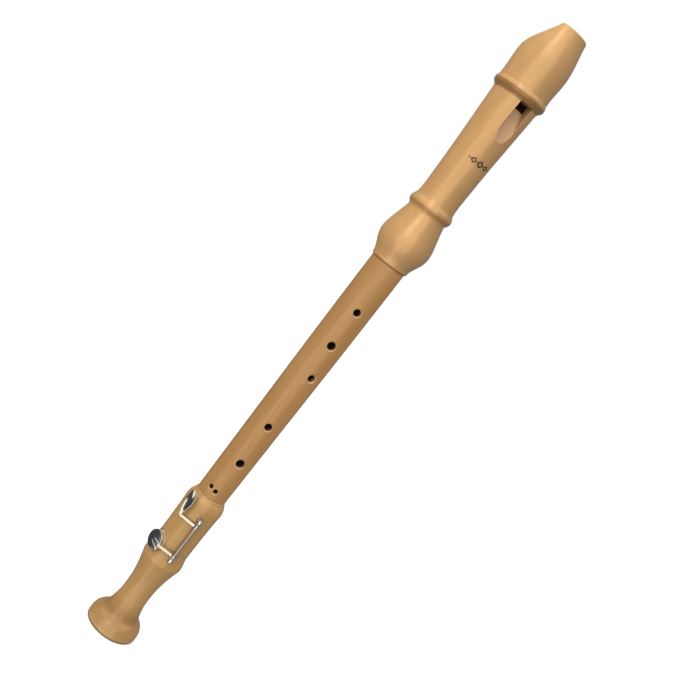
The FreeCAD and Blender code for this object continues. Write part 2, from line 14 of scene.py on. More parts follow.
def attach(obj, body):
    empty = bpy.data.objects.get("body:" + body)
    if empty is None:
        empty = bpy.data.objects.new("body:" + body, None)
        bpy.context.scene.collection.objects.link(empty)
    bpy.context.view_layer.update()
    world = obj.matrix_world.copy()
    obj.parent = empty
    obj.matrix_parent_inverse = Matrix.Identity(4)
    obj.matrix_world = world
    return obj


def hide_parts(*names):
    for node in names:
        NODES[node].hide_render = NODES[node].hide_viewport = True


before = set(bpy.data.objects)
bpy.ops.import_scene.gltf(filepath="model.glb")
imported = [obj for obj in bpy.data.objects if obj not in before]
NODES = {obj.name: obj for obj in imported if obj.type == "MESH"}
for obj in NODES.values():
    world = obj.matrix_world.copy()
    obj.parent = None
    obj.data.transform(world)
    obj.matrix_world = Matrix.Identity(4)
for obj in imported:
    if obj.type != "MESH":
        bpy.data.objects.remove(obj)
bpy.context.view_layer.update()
MM = 0.001
FAR = 1000.0                    # further than anything on the instrument, in millimetres

# --- places on the instrument, in millimetres and degrees ---
HEAD_TWIST = 14.5
HEAD_BORE_R = 12.8
FINGER_HOLES = (                # height, azimuth, radius
    (364.3, 0.0, 3.3),
    (328.7, 0.0, 3.8),
    (295.7, 14.5, 3.3),
    (239.3, -0.5, 3.4),
    (198.3, 0.0, 3.9),
    (166.4, -34.5, 2.1),
    (164.8, -9.5, 2.1),
    (386.0, 180.0, 3.4),
)
BEVEL = 0.8
TONE_HOLE = (97.6, -66.0)       # height, azimuth
TONE_HOLE_R = 4.0
SEAT_TOP = 15.6
SEAT_RING_R = 6.4
RECESS_R = 10.0
OPEN_ANGLE = 8.5
ROD = (22.3, 3.0)               # distance from the instrument's axis, azimuth
PAD_R = 8.4
PAD_THICKNESS = 2.6
PAD_FACE_R = 0.86 * PAD_R       # where the pad's flat face ends and its edge starts to roll
TOUCH = (22.9, -48.4, 146.35)   # distance, azimuth, height of the leaf's middle
TOUCH_LEAN = 9.0
TOUCH_LENGTH = 22.2
TOUCH_LEFT = 2.9                # how far the leaf reaches to the left of its stem, and to the right
TOUCH_RIGHT = 6.6
TOUCH_THICKNESS = 1.2
TOUCH_TAIL = 3.4                # how far the leaf runs down its stem
RAMP = (544.3, 581.8)           # heights of the ramp's lower end and the window's top
RAMP_SURFACE = (19.82, 21.65)   # the head's radius at those heights
RAMP_HALF_WIDTH = 7.15
ORNAMENT_HEIGHT = 522.0
LOZENGES = (                    # place across the front, half width, half height
    (-6.4, 3.4, 3.0),
    (0.4, 3.9, 3.6),
    (7.2, 3.4, 3.0),
    (-10.6, 0.8, 0.8),
    (11.4, 0.8, 0.8),
)
SMALLEST_HOLLOW = 1.0           # narrower lozenges are filled in

# --- bores, as a height and its radius at each end ---
HEAD_BORE = (440.4, 12.85, 649.5, 12.85)
MIDDLE_BORE = (130.0, 8.35, 440.0, 11.35)
FOOT_BORE = (0.0, 8.45, 130.0, 8.35)
NO_BORE = (0.0, 0.0, FAR, 0.0)

# --- colours that the woods share ---
# painted shade: the colour laid on the bore's wall, where shade falls inside the instrument
BORE_SHADE = (0.05, 0.028, 0.016)
# painted shade: the colour laid inside the holes' shafts, where shade falls
SHAFT_SHADE = (0.035, 0.018, 0.01)
# tint of the dark bands: stained joints, and painted shade under the beads and about the bell
STAIN_AND_SHADE_TINT = (0.48, 0.40, 0.28)
# painted highlight: a pale colour laid along edges where light catches them
PAINTED_HIGHLIGHT = (0.74, 0.50, 0.31)
FRESH_CUT = (0.585, 0.355, 0.195)
# painted shade: the colour laid in the ramp's corners beside its walls
CORNER_SHADE = (0.24, 0.13, 0.055)
CHARRED = (0.045, 0.022, 0.012)

# --- wood grain, in metres ---
RING_WIDTH = 0.0031
RING_WANDER = 0.006

# --- camera and light ---
CAMERA_AZIMUTH = -15.5
CAMERA_DISTANCE = 0.847
CAMERA_HEIGHT = 0.46335
CAMERA_YAW = 0.4469
CAMERA_TILT = 8.6
CAMERA_ROLL = 37.66634
CAMERA_LENS = 52.94118
SENSOR_WIDTH = 36.0
LIGHT_AZIMUTH = -45.0
LIGHT_ELEVATION = 22.0
LIGHT_DISTANCE = 1.3
LIGHT_SIZE = (2.1, 1.5)
LIGHT_POWER = 10.5
LIGHT_AIM = 0.55                # height on the instrument that the light faces


# ---------- node helpers ----------

class Graph:
    """A node tree whose nodes are added by short calls; an input given a socket is linked to it."""

    def __init__(self, tree):
        self.nodes = tree.nodes
        self.links = tree.links
        self.nodes.clear()

    def add(self, kind, inputs=(), **settings):
        node = self.nodes.new(kind)
        for key, value in settings.items():
            setattr(node, key, value)
        for key, value in dict(inputs).items():
            self.feed(node.inputs[key], value)
        return node

    def feed(self, socket, value):
        if isinstance(value, bpy.types.NodeSocket):
            self.links.new(value, socket)
        else:
            socket.default_value = value

    def math(self, operation, *values):
        node = self.add("ShaderNodeMath", operation=operation)
        for index, value in enumerate(values):
            self.feed(node.inputs[index], value)
        return node.outputs[0]

    def vector(self, operation, *values):
        node = self.add("ShaderNodeVectorMath", operation=operation)
        for index, value in enumerate(values):
            self.feed(node.inputs[index], value)
        return node.outputs["Value" if operation in ("LENGTH", "DOT_PRODUCT") else "Vector"]

    def part(self, vector, index):
        """One of a vector's three numbers."""
        return self.add("ShaderNodeSeparateXYZ", {0: vector}).outputs[index]

    def towards(self, vector, way):
        """How far a vector goes one way."""
        return self.vector("DOT_PRODUCT", vector, tuple(way))

    def level(self, vector):
        """A vector with its height taken out."""
        return self.vector("MULTIPLY", vector, (1, 1, 0))

    def in_mm(self, value):
        return self.math("MULTIPLY", value, 1000.0)

    def product(self, first, *others):
        for other in others:
            first = self.math("MULTIPLY", first, other)
        return first

    def largest(self, first, *others):
        for other in others:
            first = self.math("MAXIMUM", first, other)
        return first

    def noise(self, place, detail=3.0, roughness=0.5):
        inputs = {"Vector": place, "Scale": 1.0, "Detail": detail, "Roughness": roughness}
        return self.add("ShaderNodeTexNoise", inputs).outputs["Fac"]

    def ramp(self, value, low, high, to_low=0.0, to_high=1.0):
        inputs = {"Value": value, "From Min": low, "From Max": high, "To Min": to_low, "To Max": to_high}
        return self.add("ShaderNodeMapRange", inputs, clamp=True).outputs[0]

    def mix(self, factor, first, second, blend="MIX"):
        """Two colours mixed; a Mix node's inputs 6 and 7 and its output 2 are its colour sockets."""
        inputs = {0: factor, 6: colour(first), 7: colour(second)}
        return self.add("ShaderNodeMix", inputs, data_type="RGBA", blend_type=blend).outputs[2]


class MaterialGraph(Graph):
    """The nodes of a new material, whose patterns lie in the object's own coordinates."""

    def __init__(self, name):
        self.material = bpy.data.materials.new(name)
        self.material.use_nodes = True
        super().__init__(self.material.node_tree)
        coordinates = self.add("ShaderNodeTexCoord")
        self.place = coordinates.outputs["Object"]
        self.normal = coordinates.outputs["Normal"]

    def height(self):
        return self.in_mm(self.part(self.place, 2))

    def stretched(self, size, along=1.0, place=None):
        """Coordinates in which a pattern is size metres across and along times as long down the grain."""
        scale = (1 / size, 1 / size, 1 / (size * along))
        return self.vector("MULTIPLY", place or self.place, scale)

    def bump(self, height, distance, strength, below=None):
        inputs = {"Height": height, "Distance": distance, "Strength": strength}
        node = self.add("ShaderNodeBump", inputs)
        if below is not None:
            self.links.new(below, node.inputs["Normal"])
        return node.outputs[0]

    def finish(self, inputs):
        shader = self.add("ShaderNodeBsdfPrincipled", inputs)
        output = self.add("ShaderNodeOutputMaterial")
        self.links.new(shader.outputs[0], output.inputs[0])
        return self.material


def colour(value):
    """A socket or a colour with its alpha, from either of those or from three channels."""
    return value if isinstance(value, bpy.types.NodeSocket) or len(value) == 4 else (*value, 1.0)


def scaled(shade, amounts):
    """A colour with each channel multiplied."""
    return tuple(channel * amount for channel, amount in zip(shade, amounts))


def darker(shade, amount):
    return scaled(shade, (amount, amount, amount))


# ---------- masks on the wood ----------

def direction(azimuth):
    angle = math.radians(azimuth)
    return Vector((math.sin(angle), -math.cos(angle), 0))


def hole_distance(graph, height, azimuth):
    """Distance from a hole's axis in millimetres, made large on the far side of the instrument."""
    outward = direction(azimuth)
    from_start = graph.vector("SUBTRACT", graph.place, (0, 0, height * MM))
    off_axis = graph.vector("LENGTH", graph.vector("CROSS_PRODUCT", from_start, tuple(outward)))
    behind = graph.math("LESS_THAN", graph.towards(graph.place, outward), 0.0)
    return graph.math("MULTIPLY_ADD", behind, FAR, graph.in_mm(off_axis))


def ring_mask(graph, height, azimuth, low, high):
    """1 on a ring around a hole, 0 elsewhere."""
    distance = hole_distance(graph, height, azimuth)
    outer = graph.ramp(distance, high - 0.15, high + 0.1, 1.0, 0.0)
    inner = graph.ramp(distance, low - 0.1, low + 0.15)
    return graph.product(outer, inner)


def shaft_mask(graph, height, azimuth, radius):
    """1 within a hole's shaft, 0 elsewhere."""
    return graph.ramp(hole_distance(graph, height, azimuth), radius - 0.1, radius + 0.1, 1.0, 0.0)


def height_band(graph, low, high, soft):
    """1 between two heights in millimetres, with soft edges."""
    height = graph.height()
    rise = graph.ramp(height, low - soft, low + soft)
    fall = graph.ramp(height, high - soft, high + soft, 1.0, 0.0)
    return graph.product(rise, fall)


def head_place(graph):
    """Coordinates turned with the head, so that its window faces -Y."""
    inputs = {"Vector": graph.place, "Angle": math.radians(-HEAD_TWIST)}
    return graph.add("ShaderNodeVectorRotate", inputs, rotation_type="Z_AXIS").outputs[0]


def ramp_mask(graph):
    """Masks of the freshly cut ramp below the window, and of the shade painted into its corners."""
    place = head_place(graph)
    across = graph.math("ABSOLUTE", graph.in_mm(graph.part(place, 0)))
    from_axis = graph.in_mm(graph.vector("LENGTH", graph.level(place)))
    surface = graph.ramp(graph.in_mm(graph.part(place, 2)), *RAMP, *RAMP_SURFACE)
    depth = graph.math("SUBTRACT", surface, from_axis)
    total = graph.product(
        graph.ramp(depth, 0.04, 0.16),
        graph.math("GREATER_THAN", from_axis, HEAD_BORE_R + 0.1),
        graph.math("LESS_THAN", graph.part(place, 1), 0.0),
        graph.math("LESS_THAN", across, RAMP_HALF_WIDTH + 0.05),
        height_band(graph, RAMP[0] - 0.5, RAMP[1], 0.1),
    )
    # painted shade along the ramp's walls, where they shadow its floor
    beside_wall = graph.ramp(across, RAMP_HALF_WIDTH - 0.75, RAMP_HALF_WIDTH - 0.3, 0.0, 0.6)
    shaded_corners = graph.product(total, beside_wall, graph.ramp(depth, 0.8, 2.0))
    return total, shaded_corners


def lozenge_mask(graph, across, up, middle, half_width, half_height):
    """1 on one lozenge, which is an outline unless it is small."""
    side = graph.math("DIVIDE", graph.math("ABSOLUTE", graph.math("SUBTRACT", across, middle)), half_width)
    rise = graph.math("DIVIDE", graph.math("ABSOLUTE", up), half_height)
    reach = graph.math("ADD", side, rise)
    shape = graph.ramp(reach, 0.9, 1.05, 1.0, 0.0)
    if half_width < SMALLEST_HOLLOW:
        return shape
    return graph.product(shape, graph.ramp(reach, 0.28, 0.42))


def ornament_mask(graph):
    """Three small lozenges in a row across the front of the head, between two dots."""
    place = head_place(graph)
    across = graph.in_mm(graph.part(place, 0))
    up = graph.math("SUBTRACT", graph.in_mm(graph.part(place, 2)), ORNAMENT_HEIGHT)
    front = graph.math("LESS_THAN", graph.part(place, 1), 0.0)
    shapes = [lozenge_mask(graph, across, up, *lozenge) for lozenge in LOZENGES]
    return graph.product(graph.largest(*shapes), front)


def bore_mask(graph, low, low_radius, high, high_radius):
    """1 on the wall of a bore that widens evenly between two heights, 0 outside it."""
    wall = graph.ramp(graph.height(), low, high, low_radius, high_radius)
    from_axis = graph.in_mm(graph.vector("LENGTH", graph.level(graph.place)))
    return graph.ramp(graph.math("SUBTRACT", from_axis, wall), 0.02, 0.12, 1.0, 0.0)


# ---------- wood ----------

def grain(graph, pale, dark, pith, seed):
    """Colour of the bare wood, and the streaks and fibres that its polish follows."""
    seeded = graph.vector("ADD", graph.place, (seed * 0.37, seed * 0.19, seed * 0.53))
    wander = graph.noise(graph.stretched(0.02, 9.0, seeded), detail=2.0)
    from_pith = graph.vector("MULTIPLY", graph.vector("SUBTRACT", graph.place, (*pith, 0)), (1, 1, 0.02))
    ring_place = graph.math("MULTIPLY_ADD", wander, RING_WANDER, graph.vector("LENGTH", from_pith))
    ring = graph.math("FRACT", graph.math("DIVIDE", ring_place, RING_WIDTH))
    late = graph.product(graph.math("POWER", ring, 3.0), graph.ramp(ring, 0.94, 1.0, 1.0, 0.0))
    streaks = graph.noise(graph.stretched(0.0016, 38.0, seeded), detail=4.0, roughness=0.6)
    fibre = graph.noise(graph.stretched(0.00032, 42.0, seeded), detail=3.0, roughness=0.7)
    flecks = graph.ramp(graph.noise(graph.stretched(0.00055, 7.0, seeded), detail=1.0), 0.66, 0.76)
    clouds = graph.noise(graph.stretched(0.022, 3.2, seeded), detail=2.0)

    shade = graph.math("MULTIPLY_ADD", late, 0.2, graph.ramp(streaks, 0.3, 0.75, 0.0, 0.5))
    shade = graph.math("ADD", shade, graph.ramp(fibre, 0.3, 0.8, -0.06, 0.16))
    shade = graph.math("ADD", shade, graph.ramp(clouds, 0.3, 0.7, -0.12, 0.22))
    base = graph.mix(graph.ramp(shade, 0.0, 1.0), pale, dark)
    base = graph.mix(graph.product(flecks, 0.35), base, darker(dark, 0.55))
    facing_up = graph.math("ABSOLUTE", graph.part(graph.normal, 2))
    end_grain = graph.ramp(facing_up, 0.8, 0.98, 0.0, 0.45)
    return graph.mix(end_grain, base, darker(dark, 0.62)), streaks, fibre


def stains_and_painted_light(graph, base, dark, stains_and_shade, painted_highlights, painted_light_side):
    """Adds a side painted paler to stand in for light, dark bands that are stained joints and painted shade,
    and painted highlights along edges.
    """
    # painted light: the side facing the given azimuth is painted paler, standing in for light falling on it
    if painted_light_side:
        azimuth, amount = painted_light_side
        outward = graph.vector("NORMALIZE", graph.level(graph.place))
        side = graph.ramp(graph.towards(outward, direction(azimuth)), 0.0, 0.9)
        lift = (1 + amount, 1 + 0.9 * amount, 1 + 0.8 * amount)
        base = graph.mix(side, base, graph.mix(1.0, base, lift, "MULTIPLY"))
    for low, high, amount, soft in stains_and_shade:
        # each band darkens the wood: a stain at the joints, painted shade under the beads and about the bell
        darkened_band = graph.product(height_band(graph, low, high, soft), amount)
        base = graph.mix(darkened_band, base, scaled(dark, STAIN_AND_SHADE_TINT))
    # painted highlights along edges
    for low, high, amount in painted_highlights:
        highlight_band = graph.product(height_band(graph, low, high, 0.15), amount)
        base = graph.mix(highlight_band, base, PAINTED_HIGHLIGHT)
    return base


def pierced(graph, base, inside, shafts, rings):
    """Paints shade into the bore and the holes' shafts, and colours the rings around the holes, some as bare
    cut wood and some as painted shade.
    """
    # painted shade on the bore's wall
    base = graph.mix(graph.product(inside, 0.8), base, BORE_SHADE)
    if shafts:
        shaft = graph.largest(*(shaft_mask(graph, *hole) for hole in shafts))
        # painted shade inside the holes' shafts
        base = graph.mix(graph.product(shaft, 0.9), base, SHAFT_SHADE)
    for places, shown, amount in rings:
        ring = graph.largest(*(ring_mask(graph, *place) for place in places))
        base = graph.mix(graph.product(ring, amount), base, shown)
    return base


def wood(name, pale, dark, pith, seed, bore, sheen=0.2, marks=None, cut=None, rings=(), shafts=(),
         stains_and_shade=(), painted_highlights=(), painted_light_side=None):
    """Oiled fruitwood turned on a lathe, its grain along Z.

    pith is where the tree's centre lay, in metres from the instrument's axis, and bore is one of the bores
    above, whose wall is painted dark as shade. marks gives the mask of what is burnt in, and cut the masks
    of the bare cut wood and of the shade painted into its corners. rings are coloured around holes, some as
    bare cut wood and some as painted shade, each a list of places, a colour and an amount. shafts are the
    holes whose shafts are painted dark as shade. stains_and_shade lists height bands darkened, some as
    stained joints and some as painted shade, and painted_highlights those where a highlight is painted along
    an edge.
    painted_light_side is the azimuth of the side painted paler to stand in for light, and how much paler it
    is.
    """
    graph = MaterialGraph(name)
    base, streaks, fibre = grain(graph, pale, dark, pith, seed)
    base = stains_and_painted_light(graph, base, dark, stains_and_shade, painted_highlights, painted_light_side)
    inside = bore_mask(graph, *bore)
    base = pierced(graph, base, inside, shafts, rings)
    raw = inside
    if cut:
        freshly_cut, shaded_corners = cut(graph)
        base = graph.mix(graph.product(freshly_cut, 0.85), base, FRESH_CUT)
        # painted shade in the ramp's corners
        base = graph.mix(shaded_corners, base, CORNER_SHADE)
        raw = graph.largest(inside, freshly_cut)

    bands = {"Vector": graph.place, "Scale": 330.0, "Distortion": 1.5, "Detail": 1.0}
    turning = graph.add("ShaderNodeTexWave", bands, wave_type="BANDS", bands_direction="Z").outputs["Fac"]
    bump = graph.bump(turning, 0.000012, 0.25, graph.bump(fibre, 0.00004, 0.35))
    if marks:
        burnt = marks(graph)
        char = graph.ramp(graph.noise(graph.stretched(0.0006, 1.5)), 0.3, 0.7, 0.7, 1.0)
        base = graph.mix(graph.product(burnt, char), base, CHARRED)
        bump = graph.bump(graph.math("SUBTRACT", 1.0, burnt), 0.00025, 0.8, bump)
    return graph.finish({
        "Base Color": base,
        "Roughness": graph.math("MULTIPLY_ADD", raw, 0.35, graph.ramp(streaks, 0.3, 0.7, 0.25, 0.34)),
        "Normal": bump,
        "Metallic": graph.ramp(raw, 0.0, 1.0, sheen, 0.0),
        "Coat Weight": graph.ramp(raw, 0.0, 1.0, 0.4, 0.0),
        "Coat Roughness": 0.16,
        "Specular IOR Level": 0.4,
    })


def head_wood():
    socket_rim = (412.0, 413.2, 0.5, 0.4)
    # painted shade: the coves under the two beads are darkened where shade falls
    shade_under_lower_bead = (466.0, 469.0, 0.5, 0.8)
    shade_under_upper_bead = (580.9, 587.4, 0.7, 0.4)
    return wood("head_wood", (0.70, 0.40, 0.16), (0.55, 0.285, 0.097), (0.075, 0.05), 1.0, HEAD_BORE,
                marks=ornament_mask, cut=ramp_mask, stains_and_shade=(socket_rim, shade_under_lower_bead, shade_under_upper_bead))


def middle_wood():
    bevels = [(height, azimuth, radius, radius + BEVEL) for height, azimuth, radius in FINGER_HOLES]
    rims = (bevels, (0.66, 0.45, 0.27), 0.65)
    upper_shoulder = (411.6, 412.5, 0.5, 0.4)
    # painted light: the right side is painted paler
    return wood("middle_wood", (0.51, 0.265, 0.09), (0.375, 0.185, 0.054), (-0.06, 0.07), 2.0, MIDDLE_BORE,
                sheen=0.13, rings=(rims,), shafts=FINGER_HOLES, stains_and_shade=(upper_shoulder,),
                painted_light_side=(78.0, 0.5))


def foot_wood():
    recess = ([(*TONE_HOLE, TONE_HOLE_R, RECESS_R - 0.7)], (0.98, 0.77, 0.53), 0.95)
    # painted shadow: a dark line at the recess's wall, where shade falls beside the cup
    wall = ([(*TONE_HOLE, RECESS_R - 0.5, RECESS_R + 0.3)], (0.26, 0.14, 0.06), 0.7)
    # painted shade: the bell's end face and the band above the bell are darkened where shade falls
    shade_on_bell_face = (-1.0, 2.1, 0.85, 0.6)
    shade_above_bell = (13.0, 27.0, 0.56, 8.0)
    # painted highlights on the socket's step and on the bell's edge
    highlight_on_socket_step = (152.3, 153.2, 0.4)
    highlight_on_bell_edge = (3.4, 4.8, 0.3)
    # painted light: the right side is painted paler
    return wood("foot_wood", (0.58, 0.335, 0.122), (0.425, 0.225, 0.07), (0.08, -0.05), 3.0, FOOT_BORE,
                sheen=0.11, rings=(recess, wall), shafts=((*TONE_HOLE, TONE_HOLE_R),),
                stains_and_shade=(shade_on_bell_face, shade_above_bell), painted_highlights=(highlight_on_socket_step, highlight_on_bell_edge), painted_light_side=(78.0, 0.35))


def cedar():
    return wood("block_wood", (0.62, 0.33, 0.19), (0.42, 0.19, 0.10), (0.05, 0.05), 4.0, NO_BORE, sheen=0.0)


# ---------- metal, cork, leather ----------

def near_rod(graph):
    """1 on the hinge tube and its collars, where oil dulls the metal, 0 elsewhere."""
    from_rod = graph.level(graph.vector("SUBTRACT", graph.place, tuple(rod_point())))
    return graph.ramp(graph.in_mm(graph.vector("LENGTH", from_rod)), 1.8, 2.6, 1.0, 0.0)


def polished_metal(name, base, roughness, tarnish):
    """Plated metal with fine polishing scratches, finger smears and tarnish in patches."""
    graph = MaterialGraph(name)
    smears = graph.noise(graph.stretched(0.004, 1.6), detail=4.0, roughness=0.65)
    scratches = graph.noise(graph.stretched(0.00018, 22.0), detail=2.0)
    cross = graph.noise(graph.vector("MULTIPLY", graph.place, (300.0, 300.0, 5200.0)), detail=2.0)
    specks = graph.ramp(graph.noise(graph.stretched(0.0012), detail=2.0), 0.6, 0.74)
    oiled = near_rod(graph)
    shade = graph.mix(graph.ramp(smears, 0.35, 0.75, 0.0, 0.45), base, tarnish)
    shade = graph.mix(graph.product(specks, 0.35), shade, darker(tarnish, 0.5))
    shade = graph.mix(graph.product(oiled, 0.75), shade, tarnish)
    gloss = graph.math("ADD", graph.ramp(smears, 0.3, 0.75, roughness, roughness + 0.12),
                       graph.ramp(scratches, 0.45, 0.8, 0.0, 0.06))
    gloss = graph.math("MULTIPLY_ADD", oiled, 0.28, gloss)
    bump = graph.bump(cross, 0.000006, 0.2, graph.bump(scratches, 0.000008, 0.3))
    return graph.finish({"Base Color": shade, "Metallic": 1.0, "Roughness": gloss, "Normal": bump})


def cells(graph, size, along=1.0):
    """Distance from the middles of small cells."""
    inputs = {"Vector": graph.stretched(size, along), "Scale": 1.0}
    return graph.add("ShaderNodeTexVoronoi", inputs).outputs["Distance"]


def cork_material():
    graph = MaterialGraph("cork")
    grains = cells(graph, 0.0007, 1.3)
    lenticels = graph.noise(graph.stretched(0.0011, 0.45), detail=3.0, roughness=0.7)
    lenticels = graph.ramp(lenticels, 0.6, 0.72)
    clouds = graph.noise(graph.stretched(0.005), detail=3.0)
    base = graph.mix(graph.ramp(clouds, 0.3, 0.7), (0.56, 0.34, 0.17), (0.40, 0.22, 0.10))
    base = graph.mix(graph.ramp(grains, 0.2, 0.9, 0.0, 0.3), base, (0.68, 0.46, 0.26))
    base = graph.mix(graph.product(lenticels, 0.75), base, (0.13, 0.06, 0.03))
    bump = graph.bump(graph.math("SUBTRACT", grains, lenticels), 0.00012, 0.6)
    return graph.finish({"Base Color": base, "Roughness": 0.78, "Normal": bump})


def leather_material():
    graph = MaterialGraph("pad_leather")
    pores = cells(graph, 0.00035)
    creases = graph.noise(graph.stretched(0.0016), detail=5.0, roughness=0.7)
    clouds = graph.noise(graph.stretched(0.006), detail=2.0)
    base = graph.mix(graph.ramp(clouds, 0.3, 0.7), (0.80, 0.68, 0.48), (0.64, 0.50, 0.32))
    base = graph.mix(graph.ramp(pores, 0.0, 0.25, 0.35, 0.0), base, (0.42, 0.30, 0.18))
    bump = graph.bump(graph.math("ADD", pores, creases), 0.00008, 0.6)
    gloss = graph.ramp(creases, 0.3, 0.7, 0.5, 0.66)
    return graph.finish({"Base Color": base, "Roughness": gloss, "Normal": bump, "Sheen Weight": 0.15})


# ---------- pieces ----------

def new_piece(name, mesh, material, body):
    """Puts a mesh in the scene as a piece that rides on a body and takes its finish from a slot."""
    piece = bpy.data.objects.new(name, mesh)
    bpy.context.scene.collection.objects.link(piece)
    mesh.materials.append(material)
    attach(piece, body)
    return piece


def mesh_from(name, build):
    """A smooth-shaded mesh from a finished bmesh."""
    bmesh.ops.recalc_face_normals(build, faces=build.faces)
    mesh = bpy.data.meshes.new(name)
    build.to_mesh(mesh)
    build.free()
    for face in mesh.polygons:
        face.use_smooth = True
    return mesh


def radial_matrix(azimuth, height):
    """From a piece's own axes (z outward, y up) to the frame, in metres."""
    raised = Matrix.Translation((0, 0, height * MM))
    turned = Matrix.Rotation(math.radians(azimuth), 4, "Z")
    upright = Matrix.Rotation(math.radians(90), 4, "X")
    return raised @ turned @ upright


def rod_point():
    """Where the key's rod crosses the plane of the bell's end face."""
    return direction(ROD[1]) * ROD[0] * MM


def opened():
    """Swings a piece of the key from its closed place to the open one it rests in."""
    to_rod = Matrix.Translation(rod_point())
    return to_rod @ Matrix.Rotation(math.radians(OPEN_ANGLE), 4, "Z") @ to_rod.inverted()


def loft(name, rings):
    """Closed mesh through rings of points, in millimetres."""
    build = bmesh.new()
    loops = [[build.verts.new(Vector(point) * MM) for point in ring] for ring in rings]
    for lower, upper in zip(loops, loops[1:]):
        for index in range(len(lower)):
            after = (index + 1) % len(lower)
            build.faces.new((lower[index], lower[after], upper[after], upper[index]))
    build.faces.new(list(reversed(loops[0])))
    build.faces.new(loops[-1])
    return mesh_from(name, build)


def leaf_reach(share, widest):
    """How far the leaf reaches sideways at a share of its length, from its foot to its tip."""
    belly = math.sin(math.pi * share ** 1.25) ** 0.72
    return max(1.15 * (1 - share) ** 2 + (widest - 0.3) * belly, 0.2)


def eased(value, low, high):
    """0 below low, 1 above high, smooth between."""
    share = min(1.0, max(0.0, (value - low) / (high - low)))
    return share * share * (3 - 2 * share)


def leaf_rise(side, share):
    """How far the leaf stands out at a side (-1 left to 1 right) of a place along it.

    The left edge is turned up beside the foot, the right edge rolled down beside the tip, and the foot
    itself is twisted towards the arm.
    """
    full = eased(leaf_reach(share, TOUCH_RIGHT), 0.0, 3.8)
    if side < 0:
        lip = 0.8 * eased(-side, 0.1, 0.9) * (1 - eased(share, 0.42, 0.62))
    else:
        roll = eased(share, 0.60, 0.76) * (1 - eased(share, 0.93, 1.0))
        lip = 0.3 * eased(side, 0.55, 0.95) - 1.0 * roll * eased(side, 0.3, 0.75)
    twist = -0.7 * side * (1 - eased(share, 0.0, 0.22))
    return full * (0.25 * side * side + lip + 0.9 * (share - 0.5) ** 2) + twist


def rounded(value, power):
    """A sine or cosine fattened towards its ends, which rounds a rim's corners."""
    return math.copysign(abs(value) ** power, value)


def leaf_ring(along, points=72):
    """The leaf's rim at a distance along it, as points across, along and outward."""
    share = min(1.0, max(0.0, along / TOUCH_LENGTH + 0.5))
    left = leaf_reach(share, TOUCH_LEFT)
    right = leaf_reach(share, TOUCH_RIGHT)
    ring = []
    for index in range(points):
        angle = 2 * math.pi * index / points
        side = rounded(math.cos(angle), 0.55)
        lift = rounded(math.sin(angle), 0.8) * TOUCH_THICKNESS / 2
        outward = TOUCH[0] + TOUCH_THICKNESS / 2 + leaf_rise(side, share) + lift
        ring.append((side * (left if side < 0 else right), along, outward))
    return ring


def touch_leaf(material, steps=60):
    """Dished leaf with a rounded rim, hollowed towards the finger; its rings crowd towards both ends."""
    rings = []
    for step in range(steps + 1):
        reach = 0.5 - 0.5 * math.cos(math.pi * step / steps)
        rings.append(leaf_ring(reach * (TOUCH_LENGTH + TOUCH_TAIL) - TOUCH_LENGTH / 2 - TOUCH_TAIL))
    mesh = loft("touch_leaf", rings)
    lean = Matrix.Rotation(math.radians(TOUCH_LEAN), 4, "Z")
    mesh.transform(radial_matrix(TOUCH[1], TOUCH[2]) @ lean)
    piece = new_piece("touch_leaf", mesh, material, "key")
    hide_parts("touch_piece")


def ring_of_verts(build, radius, height, segments):
    """A ring about the local z axis, or one point on the axis itself."""
    if radius < 1e-6:
        return [build.verts.new((0, 0, height * MM))]
    ring = []
    for index in range(segments):
        angle = 2 * math.pi * index / segments
        place = Vector((radius * math.cos(angle), radius * math.sin(angle), height)) * MM
        ring.append(build.verts.new(place))
    return ring


def turned_mesh(name, outline, segments=96):
    """Surface turned about the local z axis from (radius, height) points in millimetres."""
    build = bmesh.new()
    rings = [ring_of_verts(build, radius, height, segments) for radius, height in outline]
    for lower, upper in zip(rings, rings[1:]):
        for index in range(segments):
            after = (index + 1) % segments
            if len(lower) == 1:
                build.faces.new((lower[0], upper[index], upper[after]))
            elif len(upper) == 1:
                build.faces.new((lower[index], lower[after], upper[0]))
            else:
                build.faces.new((lower[index], lower[after], upper[after], upper[index]))
    return mesh_from(name, build)


def pad_outline():
    """Flat face with the dent that the tone hole's ring presses in, then the rolled edge and the back."""
    outline = [(0.0, 0.12)]
    for step in range(1, 21):
        radius = PAD_FACE_R * step / 20
        dent = 0.16 * math.exp(-((radius - (SEAT_RING_R - 1.1)) / 0.75) ** 2)
        outline.append((radius, 0.05 + dent))
    for step in range(1, 9):
        angle = math.radians(90 * step / 8)
        radius = PAD_FACE_R + (PAD_R - PAD_FACE_R) * math.sin(angle)
        outline.append((radius, 0.05 + 1.1 * (1 - math.cos(angle))))
    back = PAD_THICKNESS - 0.05
    return outline + [(PAD_R, 1.8), (PAD_R * 0.97, back), (0.0, back)]


def key_pad(material):
    """Leather over felt, in the open cup."""
    mesh = turned_mesh("key_pad", pad_outline())
    seat = radial_matrix(TONE_HOLE[1], TONE_HOLE[0]) @ Matrix.Translation((0, 0, SEAT_TOP * MM))
    mesh.transform(opened() @ seat)
    piece = new_piece("key_pad", mesh, material, "key")
    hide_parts("pad")


def finish_nodes():
    """Gives every CAD node that stays in view its material."""
    finishes = {
        "head_wood": head_wood(),
        "middle_wood": middle_wood(),
        "foot_wood": foot_wood(),
        "block_wood": cedar(),
        "cork": cork_material(),
        "key_metal": polished_metal("key_metal", (0.83, 0.80, 0.74), 0.13, (0.50, 0.44, 0.36)),
        "steel": polished_metal("steel", (0.66, 0.64, 0.58), 0.28, (0.42, 0.38, 0.32)),
        "pad_leather": leather_material(),
    }
    for node in NODES.values():
        for holder in node.material_slots:
            holder.material = finishes[holder.material.name.split(".")[0]]
    return finishes


